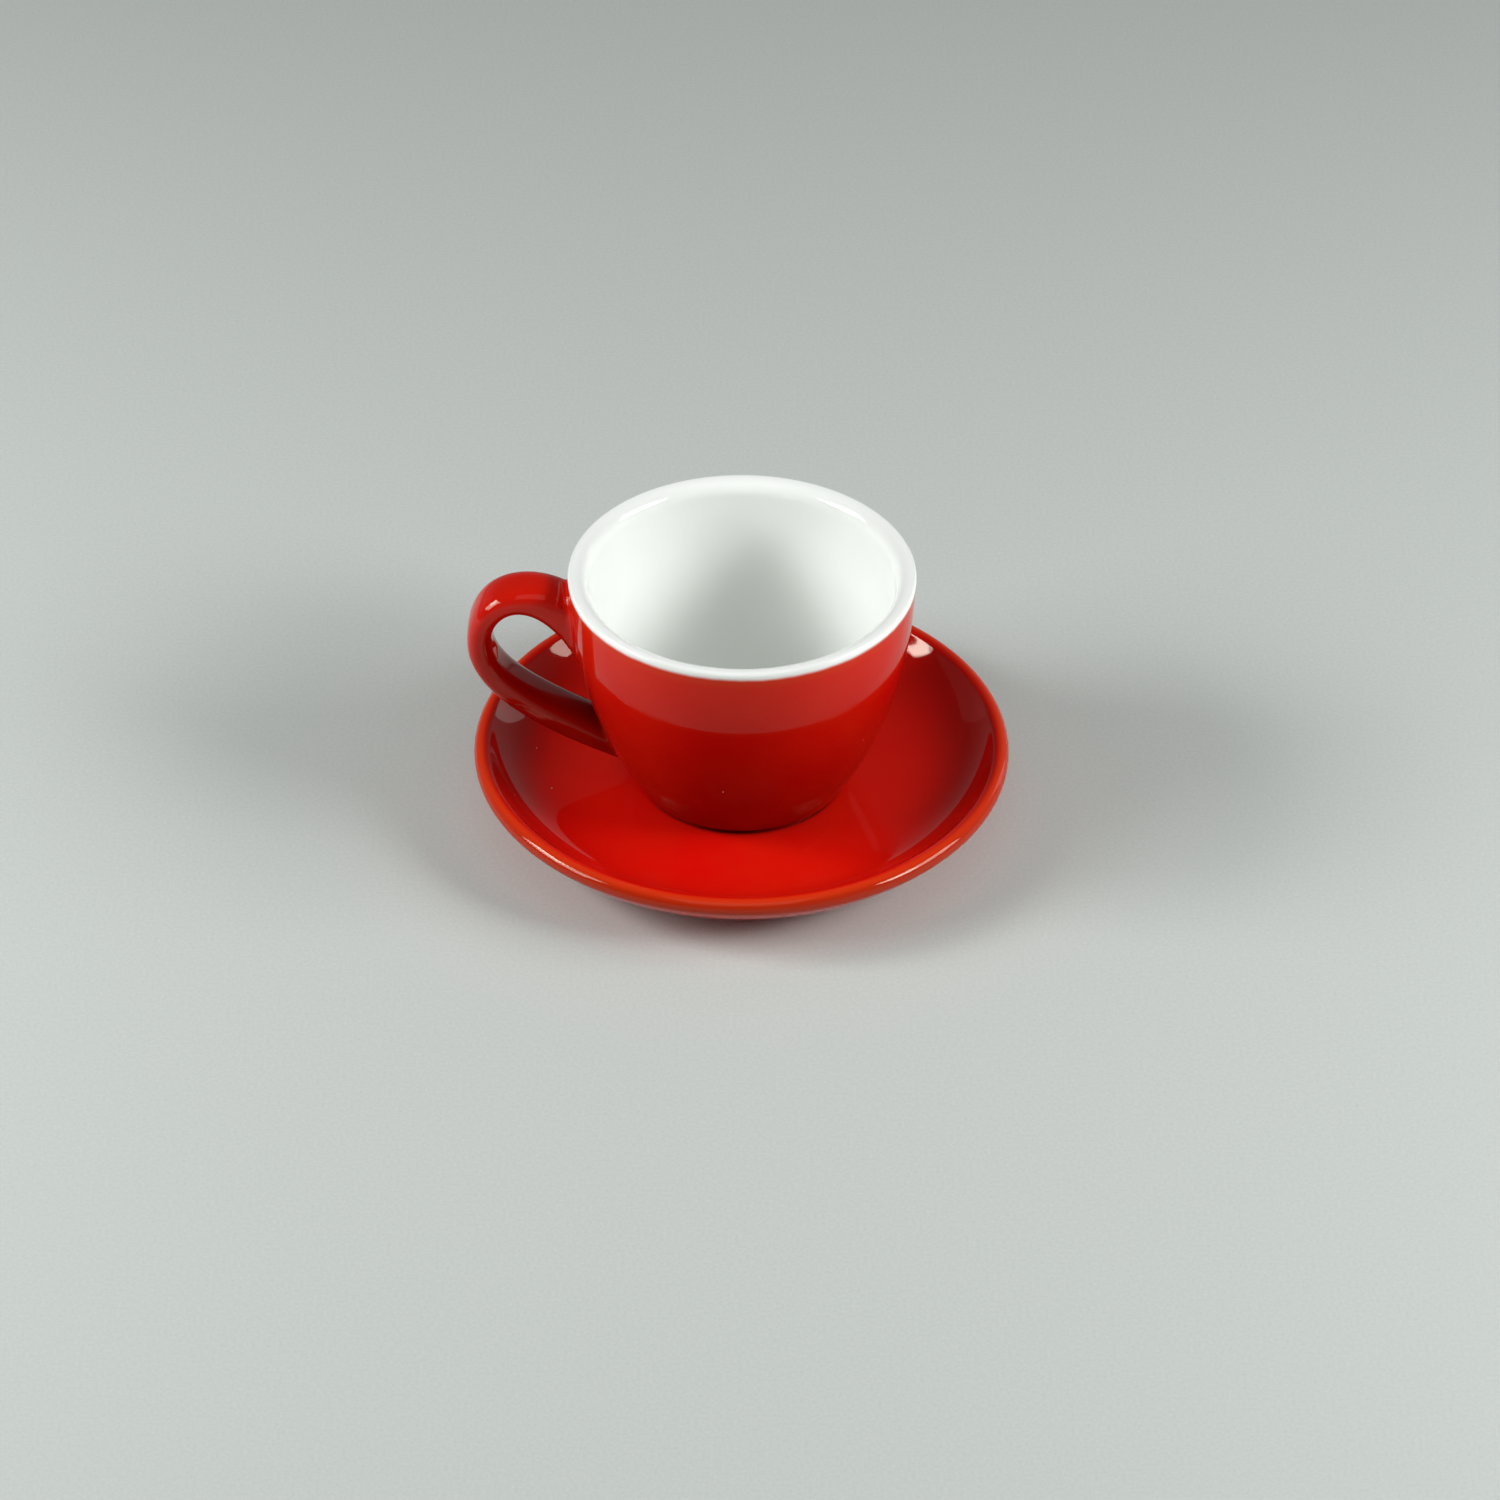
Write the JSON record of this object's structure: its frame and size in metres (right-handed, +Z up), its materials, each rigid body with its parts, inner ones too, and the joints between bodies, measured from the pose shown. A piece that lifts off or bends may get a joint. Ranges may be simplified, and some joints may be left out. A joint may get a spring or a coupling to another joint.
{
  "type": "coffee cup with saucer",
  "caption": "Round two-colour ceramic coffee cup with an ear-shaped strap handle, white inside and red outside, seated in a red dished saucer that it lifts off.",
  "frame": {"origin": "centre of the saucer's foot ring, on the surface that it stands on", "axes": "+Z up along the axis of the saucer and the cup, -X towards the handle"},
  "size_m": [0.141, 0.14, 0.0716],
  "materials": {
    "saucer_red_glaze": "gloss",
    "white_glaze": "gloss",
    "cup_red_glaze": "gloss",
    "handle_red_glaze": "gloss"
  },
  "bodies": {
    "saucer": {"saucer": "saucer_red_glaze"},
    "cup": {"cup_body": "white_glaze", "cup_red_glaze": "cup_red_glaze", "cup_handle": "handle_red_glaze"}
  },
  "joints": [
    {"name": "cup_lift", "type": "slide", "parent": "saucer", "child": "cup", "axis": [0, 0, 1], "range_m": [0, 0.1]}
  ]
}
